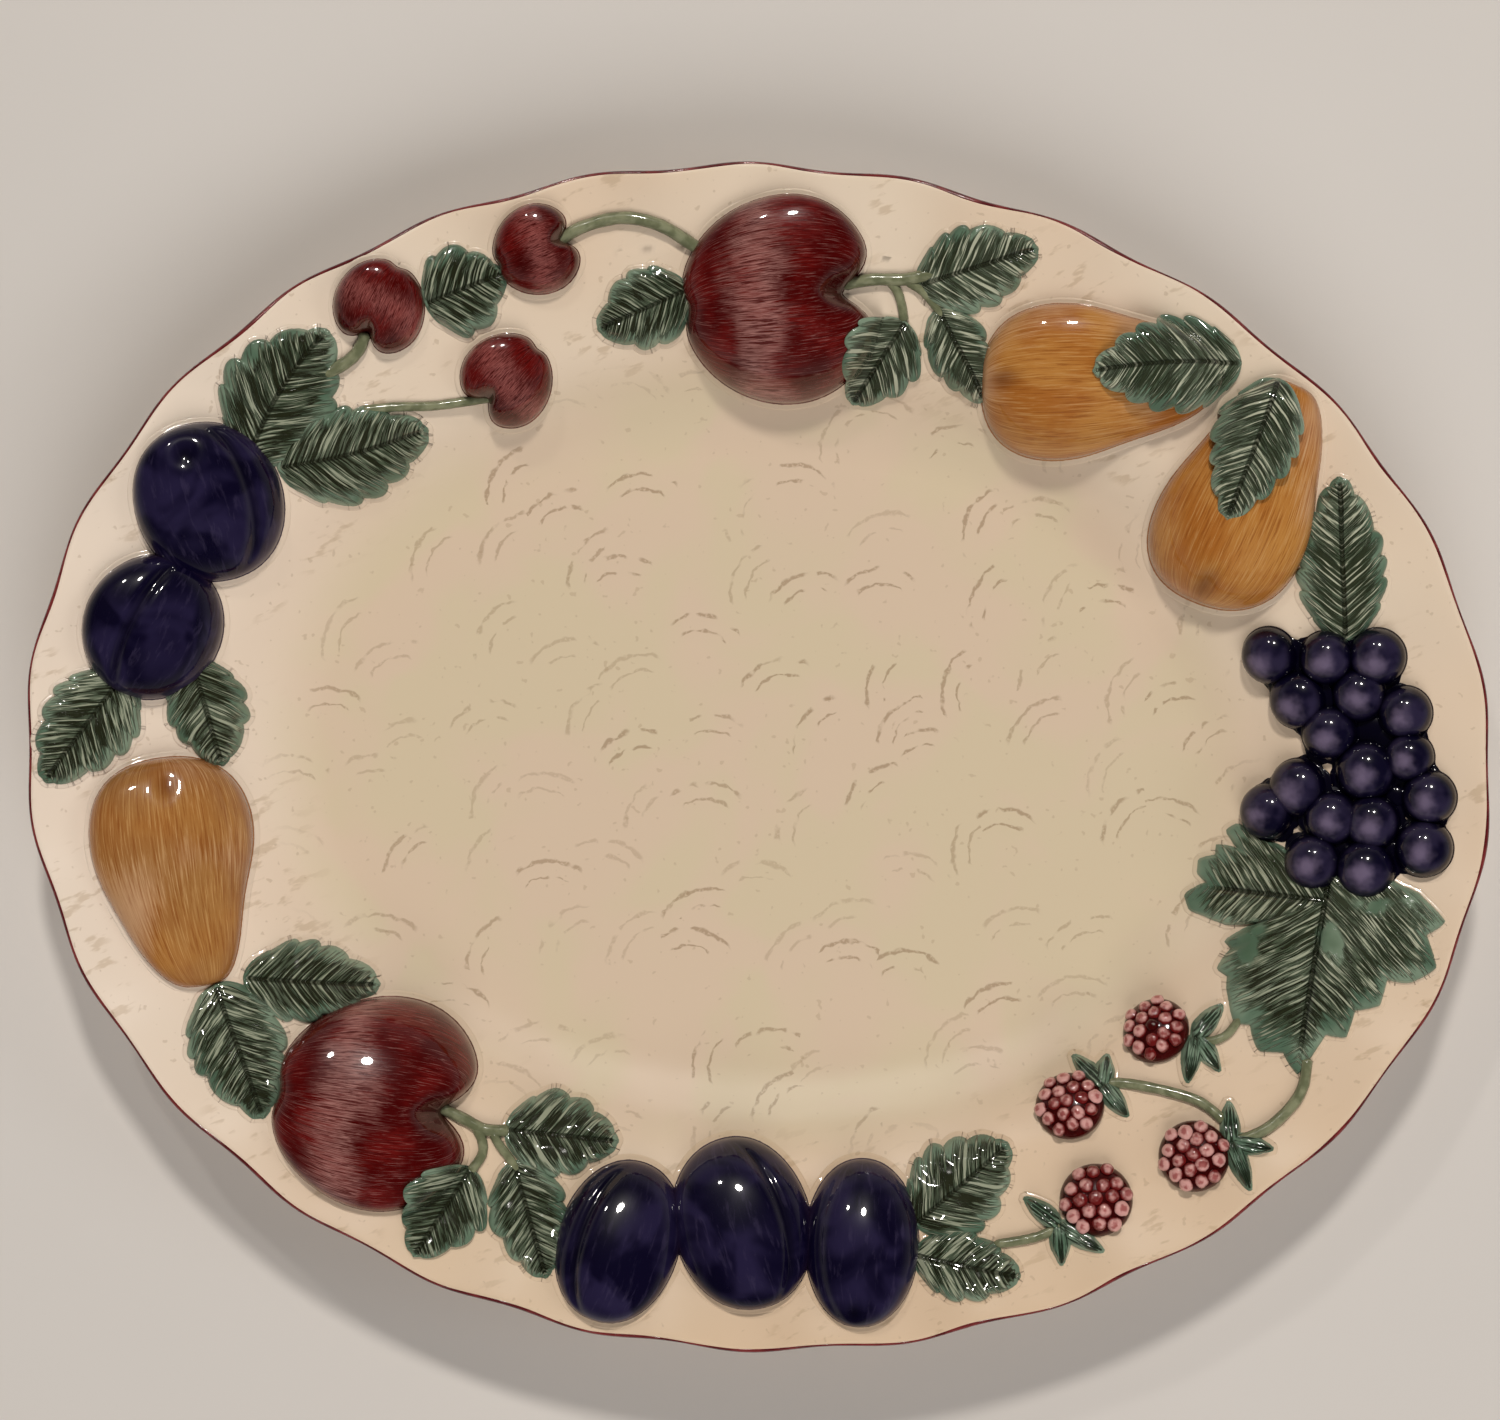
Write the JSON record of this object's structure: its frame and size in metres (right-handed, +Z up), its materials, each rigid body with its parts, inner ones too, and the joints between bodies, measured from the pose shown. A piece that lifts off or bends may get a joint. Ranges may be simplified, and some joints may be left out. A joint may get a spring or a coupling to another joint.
{
  "type": "serving platter",
  "caption": "Oval serving platter with a scalloped lip, a flat well, a foot ring and a wreath of moulded fruit, berries and leaves in relief round the rim.",
  "frame": {"origin": "on the table plane, under the middle of the platter's outline", "axes": "+Z up out of the well, +X along the long axis towards the grapes, +Y along the short axis towards the upright apple; the platter lies on its foot"},
  "size_m": [0.4196, 0.3401, 0.0433],
  "materials": {
    "cream_glaze": "gloss",
    "bare_foot": "matte",
    "maroon_line": "gloss",
    "apple_glaze": "gloss",
    "cherry_glaze": "gloss",
    "pear_glaze": "gloss",
    "plum_glaze": "gloss",
    "grape_glaze": "gloss",
    "leaf_glaze": "gloss",
    "twig_glaze": "gloss",
    "raspberry_glaze": "gloss"
  },
  "bodies": {
    "root": {"platter_body": "cream_glaze", "foot_ring": "bare_foot", "rim_line": "maroon_line", "apple_top": "apple_glaze", "apple_top_twig": "twig_glaze", "leaf_apple_top_left": "leaf_glaze", "leaf_apple_top_upper": "leaf_glaze", "leaf_apple_top_lower": "leaf_glaze", "leaf_apple_top_right": "leaf_glaze", "cherry_upper": "cherry_glaze", "cherry_left": "cherry_glaze", "cherry_lower": "cherry_glaze", "cherry_upper_stem": "twig_glaze", "cherry_left_stem": "twig_glaze", "cherry_lower_stem": "twig_glaze", "leaf_cherry": "leaf_glaze", "leaf_corner_large": "leaf_glaze", "leaf_corner_small": "leaf_glaze", "plum_left_upper": "plum_glaze", "plum_left_lower": "plum_glaze", "leaf_plum_left_outer": "leaf_glaze", "leaf_plum_left_inner": "leaf_glaze", "pear_left": "pear_glaze", "leaf_pear_left_inner": "leaf_glaze", "leaf_pear_left_outer": "leaf_glaze", "apple_bottom": "apple_glaze", "apple_bottom_twig": "twig_glaze", "leaf_apple_bottom_inner": "leaf_glaze", "leaf_apple_bottom_outer": "leaf_glaze", "leaf_apple_bottom_middle": "leaf_glaze", "plum_bottom_left": "plum_glaze", "plum_bottom_middle": "plum_glaze", "plum_bottom_right": "plum_glaze", "leaf_plum_bottom_upper": "leaf_glaze", "leaf_plum_bottom_lower": "leaf_glaze", "raspberry_low": "raspberry_glaze", "raspberry_inner": "raspberry_glaze", "raspberry_outer": "raspberry_glaze", "raspberry_high": "raspberry_glaze", "raspberry_low_calyx": "leaf_glaze", "raspberry_inner_calyx": "leaf_glaze", "raspberry_outer_calyx": "leaf_glaze", "raspberry_high_calyx": "leaf_glaze", "raspberry_twigs": "twig_glaze", "grape_leaf": "leaf_glaze", "grapes_back": "grape_glaze", "grapes_middle": "grape_glaze", "grapes_front": "grape_glaze", "leaf_grape_top": "leaf_glaze", "pear_right": "pear_glaze", "leaf_pear_right": "leaf_glaze", "pear_upper": "pear_glaze", "leaf_pear_upper": "leaf_glaze"}
  },
  "joints": []
}
